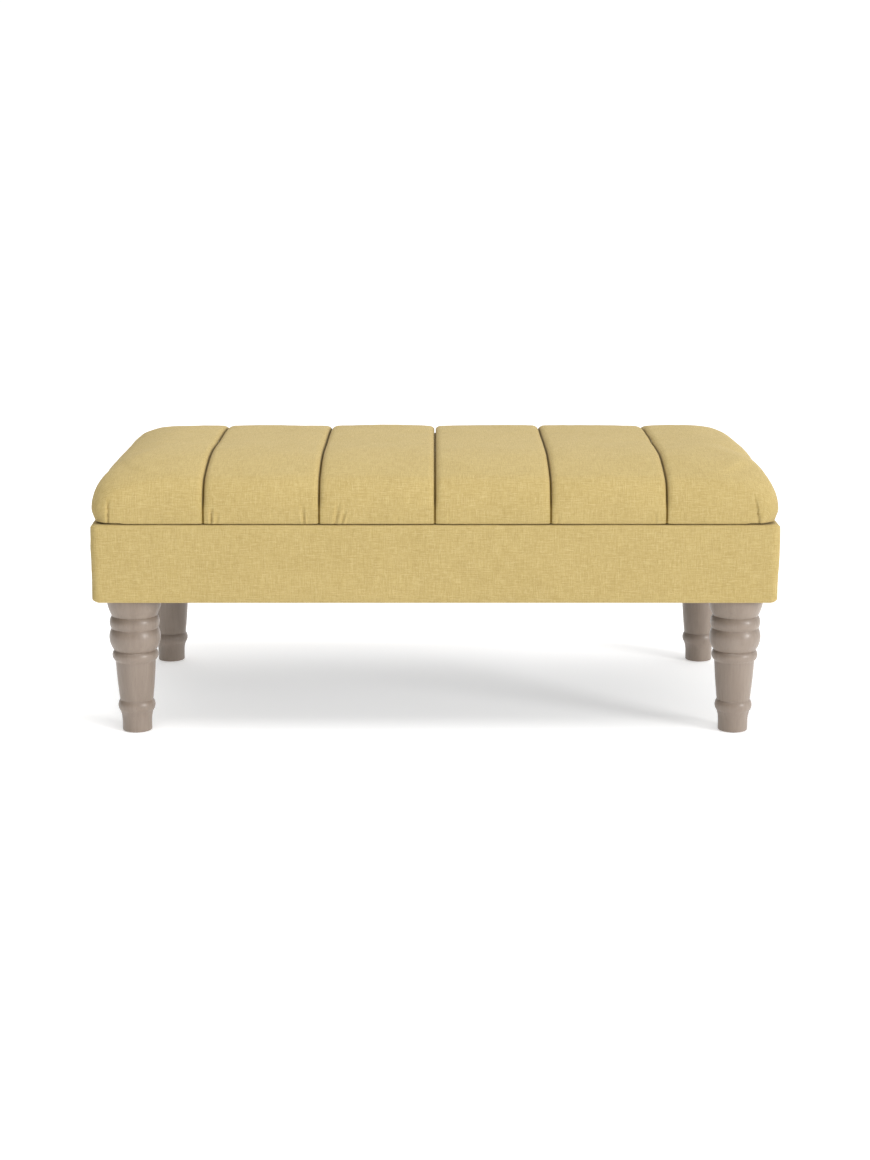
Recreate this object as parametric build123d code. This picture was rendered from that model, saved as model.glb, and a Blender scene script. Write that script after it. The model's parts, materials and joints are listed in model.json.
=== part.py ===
from build123d import *
from math import cos, radians, sin
import os

# Upholstered storage ottoman on turned legs, with a rear-hinged channelled lid.
# Millimetres. Origin on the floor under the middle. +X along the width, -Y is the
# front, +Y is the hinge side, +Z is up.

# Overall sizes
WIDTH = 1100.0
DEPTH = 610.0
BASE_BOTTOM = 225.0
BASE_TOP = 353.0
FABRIC = 1.0
WADDING = 4.0
BASE_CORNER_R = 11.0
BASE_TOP_EDGE_R = 10.0
BASE_BOTTOM_EDGE_R = 7.0

# Timber frame of the base
RAIL = 18.0
RAIL_TOP_EDGE_R = 6.0
RAIL_BOTTOM_EDGE_R = 3.0
RAIL_CORNER_R = 8.0
FLOOR_BOTTOM = 248.0
FLOOR_THICK = 9.0
BATTEN_WIDE = 45.0
BLOCK_SIDE = 90.0
CLOTH_LAP = 9.0

# Legs, glides and their fixings
LEG_X = 491.2
LEG_Y = 246.0
FOOT_BOTTOM = 0.8
GLIDE_THICK = 3.0
GLIDE_R = 17.0
GLIDE_POCKET_R = 17.2
GLIDE_STEM_R = 2.5
GLIDE_STEM_TOP = 18.0
BOLT_R = 4.0
BOLT_BOTTOM = 190.0
BOLT_TOP = 247.0
BOLT_CLEAR_R = 4.5
T_NUT_R = 5.0
T_NUT_BOTTOM = 238.0
T_NUT_FLANGE_R = 9.0
T_NUT_FLANGE = 1.2

# Lid
LID_BOTTOM = 355.0
LID_OVERHANG_IN = (4.0, 2.0)
LID_HALF_X = WIDTH / 2 - LID_OVERHANG_IN[0]
LID_HALF_Y = DEPTH / 2 - LID_OVERHANG_IN[1]
LID_SIDE_TOP = 375.0
LID_EDGE_R = 6.0
LID_CORNER_R = 30.0
LID_BOARD_THICK = 15.0
LID_BOARD_INSET = 6.0
CROWN_RISE = 79.0
CROWN_TURNS = (27.0, 46.0, 17.0)
SIDE_RADII = (70.0, 48.8)
END_RADII = (70.0, 62.0)
SEAMS = (-370.4, -185.2, 0.0, 185.2, 370.4)
SEAM_SHOULDER_R = 8.0
SEAM_ALLOWANCE_DEPTH = 16.0
UNDERSIDE_RETURN = 25.0
BUFFER_R = 6.0
BUFFER_THICK = 1.7

# Butt hinges
HINGE_XS = {"left": -370.0, "centre": 0.0, "right": 370.0}
HINGE_Y = 301.0
HINGE_Z = 354.0
BARREL_R = 3.5
PIN_R = 1.75
PIN_RUNNING_R = 1.8
LEAF_THICK = 2.0
LEAF_LONG = 64.0
LEAF_INNER_Y = 283.0
KNUCKLE_HALF = 10.7
KNUCKLE_GAP = 0.3
NOTCH_CLEAR = 0.3
BARREL_CLEAR_R = 4.1
LEAF_SCREW_Y = 290.0
LEAF_SCREW_XS = (-22.0, 0.0, 22.0)
LEAF_SCREW_LONG = 20.0
LID_SCREW_LONG = 12.0

# Countersunk wood screw
SCREW_HEAD_R = 3.2
SCREW_SHANK_R = 1.75
SCREW_HEAD_DEEP = 1.6

# Folding stays: points are (Y, Z) with the lid shut
STAY_BASE = (267.0, 292.0)
STAY_LID = (181.0, 340.0)
STAY_ELBOW = (147.0, 278.0)
ARM_WIDE = 16.0
ARM_THICK = 2.5
PLATE_THICK = 2.0
STAY_PIN_R = 3.0
STAY_HOLE_R = 3.05
STAY_HEAD_R = 5.0
STAY_HEAD_THICK = 1.5
STAY_GAP = 0.3
LOWER_ARM_OUTER = 521.7
BRACKET_SCREW_LONG = 14.0
FLANGE_LONG = 40.0
FLANGE_IN_TO = 490.0

WALL_X = WIDTH / 2 - FABRIC - WADDING - RAIL - FABRIC
WALL_Y = DEPTH / 2 - FABRIC - WADDING - RAIL - FABRIC
RAIL_IN_X = WALL_X + FABRIC
RAIL_IN_Y = WALL_Y + FABRIC
RAIL_BOTTOM = BASE_BOTTOM + FABRIC
RAIL_TOP = BASE_TOP - FABRIC
UPPER_ARM_OUTER = LOWER_ARM_OUTER - ARM_THICK - STAY_GAP
PIERCE = 40.0

os.makedirs("parts", exist_ok=True)


def save(name, shape):
    """Write one node of the assembly to its own STEP file."""
    shape.label = name
    export_step(shape, f"parts/{name}.step")


def slab(x0, x1, y0, y1, z0, z1):
    """Axis-aligned block between two corners."""
    centre = Pos((x0 + x1) / 2, (y0 + y1) / 2, (z0 + z1) / 2)
    return centre * Box(abs(x1 - x0), abs(y1 - y0), abs(z1 - z0))


def block(half_x, half_y, z0, z1):
    """Block centred on the Z axis."""
    return slab(-half_x, half_x, -half_y, half_y, z0, z1)


def rounded_block(half_x, half_y, z0, z1, corner_r, bottom_r, top_r):
    """Centred block with rounded upright corners and rounded bottom and top edges."""
    shape = block(half_x, half_y, z0, z1)
    shape = fillet(shape.edges().filter_by(Axis.Z), corner_r)
    shape = fillet(shape.faces().sort_by(Axis.Z)[-1].edges(), top_r)
    return fillet(shape.faces().sort_by(Axis.Z)[0].edges(), bottom_r)


def post(x, y, z0, z1, radius):
    """Upright round bar."""
    return Pos(x, y, (z0 + z1) / 2) * Cylinder(radius, z1 - z0)


def cross_bar(x0, x1, y, z, radius):
    """Round bar along X."""
    return Pos((x0 + x1) / 2, y, z) * Rot(0, 90, 0) * Cylinder(radius, abs(x1 - x0))


def four(shape):
    """The shape at front left, front right, rear left and rear right."""
    across = mirror(shape, about=Plane.YZ)
    return {
        "front_left": shape,
        "front_right": across,
        "rear_left": mirror(shape, about=Plane.XZ),
        "rear_right": mirror(across, about=Plane.XZ),
    }


def together(shapes):
    """Separate solids kept in one node."""
    solids = []
    for shape in shapes:
        solids.extend(shape.solids())
    return Compound(children=solids)


def wood_screw(length):
    """Countersunk screw, head face at Z = 0 looking up, point downwards."""
    outline = Polyline(
        (0, 0, 0),
        (SCREW_HEAD_R, 0, 0),
        (SCREW_SHANK_R, 0, -SCREW_HEAD_DEEP),
        (SCREW_SHANK_R, 0, SCREW_SHANK_R - length),
        (0, 0, -length),
        close=True,
    )
    return revolve(make_face(outline), Axis.Z)


# ---------------------------------------------------------------- base frame
def base_frame():
    """The four rails as one ring, before the corners are divided."""
    half_x = RAIL_IN_X + RAIL
    half_y = RAIL_IN_Y + RAIL
    ring = rounded_block(
        half_x, half_y, RAIL_BOTTOM, RAIL_TOP, RAIL_CORNER_R, RAIL_BOTTOM_EDGE_R, RAIL_TOP_EDGE_R
    )
    return ring - block(RAIL_IN_X, RAIL_IN_Y, RAIL_BOTTOM - 1, RAIL_TOP + 1)


def four_sides(ring):
    """Cut a ring into front and rear lengths and the two short ones between them."""
    low = BASE_BOTTOM
    high = BASE_TOP
    return {
        "front": ring & slab(-WIDTH, WIDTH, -DEPTH, -RAIL_IN_Y, low, high),
        "rear": ring & slab(-WIDTH, WIDTH, RAIL_IN_Y, DEPTH, low, high),
        "left": ring & slab(-WIDTH, -RAIL_IN_X, -RAIL_IN_Y, RAIL_IN_Y, low, high),
        "right": ring & slab(RAIL_IN_X, WIDTH, -RAIL_IN_Y, RAIL_IN_Y, low, high),
    }


def leaf_room(z_from, z_to):
    """Space cut for the hinge leaves and barrels on one side of the joint line."""
    rooms = []
    for x in HINGE_XS.values():
        half = LEAF_LONG / 2 + NOTCH_CLEAR
        rooms.append(slab(x - half, x + half, LEAF_INNER_Y - NOTCH_CLEAR, HINGE_Y, z_from, z_to))
        rooms.append(cross_bar(x - half, x + half, HINGE_Y, HINGE_Z, BARREL_CLEAR_R))
    return rooms


def stay_base_screw_places():
    """Head centres of the two screws of the left base bracket."""
    y, z = STAY_BASE
    return [(y, z + 19), (y, z + 34)]


def stay_lid_screw_places():
    """Head centres (X, Y) of the two screws of the left lid bracket."""
    x = -(FLANGE_IN_TO + 10)
    y = STAY_LID[0]
    return [(x, y - 12), (x, y + 12)]


def base_screws():
    """All screws that go into the base, by node name."""
    hinge = []
    for x in HINGE_XS.values():
        for dx in LEAF_SCREW_XS:
            top = HINGE_Z - BARREL_R + LEAF_THICK
            hinge.append(Pos(x + dx, LEAF_SCREW_Y, top) * wood_screw(LEAF_SCREW_LONG))
    stay = []
    for y, z in stay_base_screw_places():
        screw = Pos(PLATE_THICK - WALL_X, y, z) * Rot(0, 90, 0) * wood_screw(BRACKET_SCREW_LONG)
        stay.append(screw)
        stay.append(mirror(screw, about=Plane.YZ))
    return {"hinge_base_screws": hinge, "stay_base_screws": stay}


def lid_screws():
    """All screws that go up into the lid board, by node name."""
    upwards = Rot(180, 0, 0) * wood_screw(LID_SCREW_LONG)
    hinge = []
    for x in HINGE_XS.values():
        for dx in LEAF_SCREW_XS:
            face = HINGE_Z + BARREL_R - LEAF_THICK
            hinge.append(Pos(x + dx, LEAF_SCREW_Y, face) * upwards)
    stay = []
    for x, y in stay_lid_screw_places():
        screw = Pos(x, y, LID_BOTTOM - PLATE_THICK) * upwards
        stay.append(screw)
        stay.append(mirror(screw, about=Plane.YZ))
    return {"hinge_lid_screws": hinge, "stay_lid_screws": stay}


BASE_SCREWS = base_screws()
LID_SCREWS = lid_screws()
BASE_LEAF_ROOM = leaf_room(HINGE_Z - BARREL_R, BASE_TOP + 1)
LID_LEAF_ROOM = leaf_room(LID_BOTTOM - 1, HINGE_Z + BARREL_R)


def build_rails():
    """Front and rear rails run through; the side rails butt between them."""
    frame = base_frame() - BASE_LEAF_ROOM - BASE_SCREWS["hinge_base_screws"]
    frame = frame - BASE_SCREWS["stay_base_screws"]
    for side, piece in four_sides(frame).items():
        save(f"{side}_rail", piece)


def build_floor():
    """Plywood floor, the batten under its middle and the corner blocks."""
    save("floor_board", block(RAIL_IN_X, RAIL_IN_Y, FLOOR_BOTTOM, FLOOR_BOTTOM + FLOOR_THICK))
    save("centre_batten", block(BATTEN_WIDE / 2, RAIL_IN_Y, RAIL_BOTTOM, FLOOR_BOTTOM))
    corner = slab(
        -RAIL_IN_X, BLOCK_SIDE - RAIL_IN_X, -RAIL_IN_Y, BLOCK_SIDE - RAIL_IN_Y, RAIL_BOTTOM, FLOOR_BOTTOM
    )
    corner -= post(-LEG_X, -LEG_Y, RAIL_BOTTOM, T_NUT_BOTTOM, BOLT_CLEAR_R)
    corner -= post(-LEG_X, -LEG_Y, T_NUT_BOTTOM, FLOOR_BOTTOM, T_NUT_R)
    corner -= post(-LEG_X, -LEG_Y, FLOOR_BOTTOM - T_NUT_FLANGE, FLOOR_BOTTOM, T_NUT_FLANGE_R)
    for place, shape in four(corner).items():
        save(f"corner_block_{place}", shape)


# ---------------------------------------------------------------- legs
def leg_profile():
    """Closed outline of half the turned leg, from the floor end up."""
    top = BASE_BOTTOM
    pieces = [
        Line((0, 0, FOOT_BOTTOM), (22.6, 0, FOOT_BOTTOM)),
        ThreePointArc((22.6, 0, FOOT_BOTTOM), (23.7, 0, 1.3), (24.2, 0, 2.4)),
        Line((24.2, 0, 2.4), (24.3, 0, 16.6)),
        Spline((24.3, 0, 16.6), (24.6, 0, 22.5), (25.5, 0, 28.4), (27.3, 0, 34.3)),
        ThreePointArc((27.3, 0, 34.3), (30.4, 0, 44), (27.2, 0, 52.8)),
        Spline((27.2, 0, 52.8), (30.5, 0, 85), (32.7, 0, 118)),
        Line((32.7, 0, 118), (33.9, 0, 119.9)),
        ThreePointArc((33.9, 0, 119.9), (37.6, 0, 127.7), (34.1, 0, 136.4)),
        Spline((34.1, 0, 136.4), (39.1, 0, 145.1), (41.8, 0, 157.6), (38, 0, 173.1)),
        ThreePointArc((38, 0, 173.1), (40.8, 0, 183.6), (37, 0, 194.2)),
        Spline((37, 0, 194.2), (41.4, 0, 204.8), (43.5, 0, 212.5), (44.5, 0, top)),
        Line((44.5, 0, top), (0, 0, top)),
        Line((0, 0, top), (0, 0, FOOT_BOTTOM)),
    ]
    return make_face(pieces)


def build_legs():
    """Turned legs with hanger bolts, T-nuts and glides nailed into shallow pockets."""
    place = Pos(-LEG_X, -LEG_Y, 0)
    leg = place * revolve(leg_profile(), Axis.Z)
    leg -= post(-LEG_X, -LEG_Y, BOLT_BOTTOM, BASE_BOTTOM, BOLT_R)
    leg -= post(-LEG_X, -LEG_Y, 0, GLIDE_THICK, GLIDE_POCKET_R)
    leg -= post(-LEG_X, -LEG_Y, GLIDE_THICK, GLIDE_STEM_TOP, GLIDE_STEM_R)
    for corner, shape in four(leg).items():
        save(f"leg_{corner}", shape)

    glide = post(-LEG_X, -LEG_Y, 0, GLIDE_THICK, GLIDE_R)
    glide = fillet(glide.edges().sort_by(Axis.Z)[0], FOOT_BOTTOM / 2)
    glide += post(-LEG_X, -LEG_Y, GLIDE_THICK, GLIDE_STEM_TOP, GLIDE_STEM_R)
    save("leg_glides", together(four(glide).values()))

    bolt = post(-LEG_X, -LEG_Y, BOLT_BOTTOM, BOLT_TOP, BOLT_R)
    save("leg_hanger_bolts", together(four(bolt).values()))

    nut = post(-LEG_X, -LEG_Y, T_NUT_BOTTOM, FLOOR_BOTTOM, T_NUT_R)
    nut += post(-LEG_X, -LEG_Y, FLOOR_BOTTOM - T_NUT_FLANGE, FLOOR_BOTTOM, T_NUT_FLANGE_R)
    nut -= post(-LEG_X, -LEG_Y, T_NUT_BOTTOM, FLOOR_BOTTOM, BOLT_R)
    save("leg_t_nuts", together(four(nut).values()))


# ---------------------------------------------------------------- base upholstery
def build_base_soft_goods():
    """Wadding and cover round the rails, lining inside, dust cloth below."""
    half_x = WIDTH / 2
    half_y = DEPTH / 2
    outside = rounded_block(
        half_x, half_y, BASE_BOTTOM, BASE_TOP, BASE_CORNER_R, BASE_BOTTOM_EDGE_R, BASE_TOP_EDGE_R
    )
    under_fabric = rounded_block(
        half_x - FABRIC,
        half_y - FABRIC,
        RAIL_BOTTOM,
        RAIL_TOP,
        BASE_CORNER_R - FABRIC,
        BASE_BOTTOM_EDGE_R - FABRIC,
        BASE_TOP_EDGE_R - FABRIC,
    )
    well = block(RAIL_IN_X, RAIL_IN_Y, BASE_BOTTOM - 1, BASE_TOP + 1)
    cloth_x = RAIL_IN_X + CLOTH_LAP
    cloth_y = RAIL_IN_Y + CLOTH_LAP
    cloth = block(cloth_x, cloth_y, BASE_BOTTOM, RAIL_BOTTOM)
    timber = block(RAIL_IN_X + RAIL, RAIL_IN_Y + RAIL, BASE_BOTTOM - 1, BASE_TOP + 1)

    save("base_cover", outside - under_fabric - well - cloth - BASE_LEAF_ROOM)
    wadding = under_fabric - timber - BASE_LEAF_ROOM
    save("base_wadding", together(four_sides(wadding).values()))

    for x in (-LEG_X, LEG_X):
        for y in (-LEG_Y, LEG_Y):
            cloth -= post(x, y, BASE_BOTTOM, RAIL_BOTTOM, BOLT_CLEAR_R)
    save("under_cloth", cloth)

    floor_top = FLOOR_BOTTOM + FLOOR_THICK
    lining = block(RAIL_IN_X, RAIL_IN_Y, floor_top, BASE_TOP)
    lining -= block(WALL_X, WALL_Y, floor_top + FABRIC, BASE_TOP + 1)
    save("storage_lining", lining - BASE_SCREWS["stay_base_screws"])

    rim_x = (WALL_X + WIDTH / 2) / 2
    rim_y = (WALL_Y + DEPTH / 2) / 2
    buffer = post(-rim_x + 60, -rim_y + 3, BASE_TOP, BASE_TOP + BUFFER_THICK, BUFFER_R)
    side_buffer = post(-rim_x + 3, 60, BASE_TOP, BASE_TOP + BUFFER_THICK, BUFFER_R)
    pads = [buffer, side_buffer]
    pads += [mirror(pad, about=Plane.YZ) for pad in pads]
    save("rim_buffers", together(pads))


# ---------------------------------------------------------------- lid
def crown_point(start, arc_r, slope, angle, inset):
    """Point on one crown arc where the surface leans at angle, moved in by inset."""
    u = start[0] + arc_r * (sin(radians(slope)) - sin(radians(angle)))
    z = start[1] + arc_r * (cos(radians(angle)) - cos(radians(slope)))
    return (u + inset * sin(radians(angle)), z - inset * cos(radians(angle)))


def crown_arcs(radii, inset):
    """Start, middle and end points of the arcs from the upright side to the flat top."""
    arcs = []
    start = (0.0, LID_SIDE_TOP)
    slope = 90.0
    rise_left = CROWN_RISE
    for number, turn in enumerate(CROWN_TURNS):
        end = slope - turn
        drop = cos(radians(end)) - cos(radians(slope))
        arc_r = radii[number] if number < len(radii) else rise_left / drop
        stops = (slope, slope - turn / 2, end)
        arcs.append([crown_point(start, arc_r, slope, angle, inset) for angle in stops])
        start = crown_point(start, arc_r, slope, end, 0.0)
        rise_left -= arc_r * drop
        slope = end
    return arcs


def crown_outline(half, radii, inset, bottom, edge_r):
    """Edges of the crowned cross-section, drawn in the XZ plane."""
    side = half - inset
    half_edges = [Line((side, 0, bottom + edge_r), (side, 0, LID_SIDE_TOP))]
    if edge_r > 0:
        bend = edge_r * (1 - cos(radians(45)))
        foot = ((side - edge_r, 0, bottom), (side - bend, 0, bottom + bend), (side, 0, bottom + edge_r))
        half_edges.append(ThreePointArc(*foot))
    for arc in crown_arcs(radii, inset):
        half_edges.append(ThreePointArc(*[(half - u, 0, z) for u, z in arc]))
    top_u, top_z = crown_arcs(radii, inset)[-1][-1]
    edges = half_edges + [edge.mirror(Plane.YZ) for edge in half_edges]
    edges.append(Line((half - top_u, 0, top_z), (top_u - half, 0, top_z)))
    edges.append(Line((side - edge_r, 0, bottom), (edge_r - side, 0, bottom)))
    return make_face(edges)


def lid_form(inset, bottom, edge_r):
    """Crowned lid shape, every outer surface moved in by inset."""
    along = crown_outline(LID_HALF_Y, SIDE_RADII, inset, bottom, edge_r)
    across = crown_outline(LID_HALF_X, END_RADII, inset, bottom, edge_r)
    form = Rot(0, 0, 90) * extrude(along, WIDTH, both=True) & extrude(across, DEPTH, both=True)
    plan = block(LID_HALF_X - inset, LID_HALF_Y - inset, bottom, 2 * LID_BOTTOM)
    return form & fillet(plan.edges().filter_by(Axis.Z), LID_CORNER_R - min(inset, LID_CORNER_R / 2))


def channel_strips(form, gap, shoulder_r):
    """Divide the crowned form at the seams and round the shoulders of each strip."""
    ends = (-WIDTH, *SEAMS, WIDTH)
    strips = []
    for left, right in zip(ends, ends[1:]):
        strip = form & slab(left + gap, right - gap, -DEPTH, DEPTH, 0, 2 * LID_BOTTOM)
        shoulders = []
        for face in strip.faces().filter_by(Axis.X):
            if abs(face.center().X) < LID_HALF_X - 2 * LID_CORNER_R:
                shoulders += [e for e in face.edges() if e.center().Z > LID_BOTTOM + FABRIC + 0.5]
        strips.append(fillet(shoulders, shoulder_r))
    return strips


def build_lid():
    """Board, foam slab with channel grooves, six cover panels and the underside cloth."""
    board_x = LID_HALF_X - LID_BOARD_INSET
    board_y = LID_HALF_Y - LID_BOARD_INSET
    board_bottom = LID_BOTTOM + FABRIC
    board = block(board_x, board_y, board_bottom, board_bottom + LID_BOARD_THICK)
    board = fillet(board.edges().filter_by(Axis.Z), LID_CORNER_R - LID_BOARD_INSET)

    outer = lid_form(0.0, LID_BOTTOM, LID_EDGE_R)
    inner = lid_form(FABRIC, board_bottom, LID_EDGE_R - FABRIC)
    core = lid_form(SEAM_ALLOWANCE_DEPTH, board_bottom, 0)

    foam = core
    for strip in channel_strips(inner, FABRIC, SEAM_SHOULDER_R - FABRIC):
        foam = foam + strip
    covers = channel_strips(outer, 0.0, SEAM_SHOULDER_R)

    opening_x = LID_HALF_X - UNDERSIDE_RETURN
    opening_y = LID_HALF_Y - UNDERSIDE_RETURN
    cloth = block(opening_x, opening_y, LID_BOTTOM, board_bottom)
    for number, cover in enumerate(covers, start=1):
        panel = cover - foam - board - cloth - LID_LEAF_ROOM
        save(f"lid_cover_panel_{number}", panel)

    save("lid_foam", foam - board - LID_LEAF_ROOM)
    board = board - LID_LEAF_ROOM - LID_SCREWS["hinge_lid_screws"] - LID_SCREWS["stay_lid_screws"]
    save("lid_board", board)
    save("lid_underside_cloth", cloth - LID_SCREWS["stay_lid_screws"])


# ---------------------------------------------------------------- hinges
def leaf(x, z_low, own, other):
    """One hinge leaf: plate, its own knuckles, cut back round the other's."""
    half = LEAF_LONG / 2
    plate = slab(x - half, x + half, LEAF_INNER_Y, HINGE_Y, z_low, z_low + LEAF_THICK)
    for start, end in other:
        plate -= cross_bar(x + start, x + end, HINGE_Y, HINGE_Z, BARREL_R + KNUCKLE_GAP)
    for start, end, bore in own:
        plate -= cross_bar(x + start, x + end, HINGE_Y, HINGE_Z, BARREL_R)
        knuckle = cross_bar(x + start, x + end, HINGE_Y, HINGE_Z, BARREL_R)
        plate += knuckle - cross_bar(x + start, x + end, HINGE_Y, HINGE_Z, bore)
    return plate


def build_hinges():
    """Three butt hinges: outer knuckles on the base, middle knuckle on the lid."""
    half = LEAF_LONG / 2
    outer_start = KNUCKLE_HALF + KNUCKLE_GAP
    base_knuckles = [(-half, -outer_start, PIN_R), (outer_start, half, PIN_R)]
    lid_knuckle = [(-KNUCKLE_HALF, KNUCKLE_HALF, PIN_RUNNING_R)]
    base_swept = [(-half, -KNUCKLE_HALF), (KNUCKLE_HALF, half)]
    lid_swept = [(-outer_start, outer_start)]
    pins = []
    for name, x in HINGE_XS.items():
        low = leaf(x, HINGE_Z - BARREL_R, base_knuckles, lid_swept)
        low = low - BASE_SCREWS["hinge_base_screws"]
        save(f"hinge_{name}_base_leaf", low)
        high = leaf(x, HINGE_Z + BARREL_R - LEAF_THICK, lid_knuckle, base_swept)
        high = high - LID_SCREWS["hinge_lid_screws"]
        save(f"hinge_{name}_lid_leaf", high)
        pins.append(cross_bar(x - half, x + half, HINGE_Y, HINGE_Z, PIN_R))
    save("hinge_pins", together(pins))
    save("hinge_base_screws", together(BASE_SCREWS["hinge_base_screws"]))
    save("hinge_lid_screws", together(LID_SCREWS["hinge_lid_screws"]))


# ---------------------------------------------------------------- stays
def arm(start, end, outer_x):
    """Flat arm with round ends on the left side, its outer face at -outer_x."""
    dy = end[0] - start[0]
    dz = end[1] - start[1]
    middle = (-outer_x, (start[0] + end[0]) / 2, (start[1] + end[1]) / 2)
    plane = Plane(origin=middle, x_dir=(0, dy, dz), z_dir=(1, 0, 0))
    outline = plane * SlotCenterToCenter((dy**2 + dz**2) ** 0.5, ARM_WIDE)
    return extrude(outline, amount=ARM_THICK)


def both_sides(node, shape):
    """Save the left piece and its mirror image."""
    save(node.format(side="left"), shape)
    save(node.format(side="right"), mirror(shape, about=Plane.YZ))


def build_stays():
    """A two-arm folding stay each side, its arms parallel to the lid and hinge lines."""
    base_y, base_z = STAY_BASE
    lid_y, lid_z = STAY_LID
    elbow_y, elbow_z = STAY_ELBOW

    plate_in = -(WALL_X - PLATE_THICK)
    boss_in = -(LOWER_ARM_OUTER + STAY_GAP)
    head_out = -(LOWER_ARM_OUTER - ARM_THICK - STAY_GAP)
    plate = slab(-WALL_X, plate_in, base_y - 11, base_y + 11, base_z - 11, base_z + 43)
    plate = fillet(plate.edges().filter_by(Axis.X), 4)
    plate = plate - BASE_SCREWS["stay_base_screws"]
    plate += cross_bar(plate_in, boss_in, base_y, base_z, STAY_HEAD_R)
    plate += cross_bar(boss_in, head_out, base_y, base_z, STAY_PIN_R)
    plate += cross_bar(head_out, head_out + STAY_HEAD_THICK, base_y, base_z, STAY_HEAD_R)
    both_sides("stay_{side}_base_bracket", plate)

    lower = arm(STAY_BASE, STAY_ELBOW, LOWER_ARM_OUTER)
    lower -= cross_bar(-PIERCE - WALL_X, PIERCE - WALL_X, base_y, base_z, STAY_HOLE_R)
    lower -= cross_bar(-PIERCE - WALL_X, PIERCE - WALL_X, elbow_y, elbow_z, STAY_PIN_R)
    both_sides("stay_{side}_lower_arm", lower)

    upper = arm(STAY_ELBOW, STAY_LID, UPPER_ARM_OUTER)
    upper -= cross_bar(-PIERCE - WALL_X, PIERCE - WALL_X, lid_y, lid_z, STAY_HOLE_R)
    upper -= cross_bar(-PIERCE - WALL_X, PIERCE - WALL_X, elbow_y, elbow_z, STAY_HOLE_R)
    both_sides("stay_{side}_upper_arm", upper)

    rivet_out = -LOWER_ARM_OUTER
    rivet_in = -(UPPER_ARM_OUTER - ARM_THICK - STAY_GAP)
    rivet = cross_bar(rivet_out - STAY_HEAD_THICK, rivet_out, elbow_y, elbow_z, STAY_HEAD_R)
    rivet += cross_bar(rivet_out, rivet_in, elbow_y, elbow_z, STAY_PIN_R)
    rivet += cross_bar(rivet_in, rivet_in + STAY_HEAD_THICK, elbow_y, elbow_z, STAY_HEAD_R)
    both_sides("stay_{side}_elbow_rivet", rivet)

    ear_out = -(UPPER_ARM_OUTER - ARM_THICK - STAY_GAP - 0.1)
    ear_in = ear_out + PLATE_THICK
    tail = -(UPPER_ARM_OUTER + STAY_GAP)
    ear_top = LID_BOTTOM
    half = ARM_WIDE / 2
    ear = slab(ear_out, ear_in, lid_y - half, lid_y + half, lid_z, ear_top)
    ear += cross_bar(ear_out, ear_in, lid_y, lid_z, half)
    flange_half = FLANGE_LONG / 2
    flange = slab(
        ear_out, -FLANGE_IN_TO, lid_y - flange_half, lid_y + flange_half, ear_top - PLATE_THICK, ear_top
    )
    flange = fillet(flange.edges().filter_by(Axis.Z).sort_by(Axis.X)[-2:], 5)
    bracket = ear + flange - LID_SCREWS["stay_lid_screws"]
    bracket += cross_bar(tail, ear_out, lid_y, lid_z, STAY_PIN_R)
    bracket += cross_bar(tail - STAY_HEAD_THICK, tail, lid_y, lid_z, STAY_HEAD_R)
    both_sides("stay_{side}_lid_bracket", bracket)

    save("stay_base_screws", together(BASE_SCREWS["stay_base_screws"]))
    save("stay_lid_screws", together(LID_SCREWS["stay_lid_screws"]))


build_rails()
build_floor()
build_legs()
build_base_soft_goods()
build_lid()
build_hinges()
build_stays()
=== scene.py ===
import json
from math import pi, radians, sqrt

import bmesh
import bpy
import numpy as np
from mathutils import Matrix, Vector


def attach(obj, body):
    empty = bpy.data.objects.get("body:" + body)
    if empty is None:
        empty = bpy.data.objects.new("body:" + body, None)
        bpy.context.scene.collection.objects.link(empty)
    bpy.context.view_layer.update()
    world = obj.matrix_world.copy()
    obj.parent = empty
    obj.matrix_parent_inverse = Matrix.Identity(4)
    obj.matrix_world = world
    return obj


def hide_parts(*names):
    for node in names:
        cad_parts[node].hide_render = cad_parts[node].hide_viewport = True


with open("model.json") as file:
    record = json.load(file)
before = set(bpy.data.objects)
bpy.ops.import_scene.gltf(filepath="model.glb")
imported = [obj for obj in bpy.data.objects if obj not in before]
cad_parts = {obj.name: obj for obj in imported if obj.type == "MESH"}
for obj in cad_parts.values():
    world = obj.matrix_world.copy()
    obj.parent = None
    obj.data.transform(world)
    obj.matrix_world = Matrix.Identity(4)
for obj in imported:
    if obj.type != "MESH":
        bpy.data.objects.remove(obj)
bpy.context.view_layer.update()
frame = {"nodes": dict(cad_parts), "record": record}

MM = 0.001

# Lid outline (mm): half sizes, heights and the arcs of its crowned side.
LID_HX = 546.0
LID_HY = 303.0
LID_Z0 = 355.0
LID_TOP = 454.0
LID_SIDE_TOP = 375.0
TUCK_R = 3.8
RETURN = 25.0
ARC_TURNS = ((27.0, 7), (46.0, 13), (17.0, 16))
SIDE_ARCS = (70.0, 48.8)
END_ARCS = (70.0, 76.0)
END_BULGE = 5.5
END_INNER_U = 171.0
SEAMS = (-370.4, -185.2, 0.0, 185.2, 370.4)
SEAM_GAP = 0.02
SLOT_HALF = 1.15
SLOT_DEPTH = 6.0
BOARD_ROOM = 4.3
SHOULDER_R = 10.0
CORNER_R0 = 26.0
CORNER_GROWTH = 2.0
FOAM_INSET = 1.5
OPEN_ROOM = 0.8  # the rear edge stands back this far, so the opened lid clears the base
OPEN_ROOM_TOP = (372.0, 390.0)

# Base outline (mm)
BASE_HX = 550.0
BASE_HY = 305.0
BASE_Z0 = 225.0
BASE_Z1 = 353.0
RIM_R = 5.5
FOOT_EDGE_R = 7.0
BASE_CORNER_R = 12.0
COVER_THICK = 0.9

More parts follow.
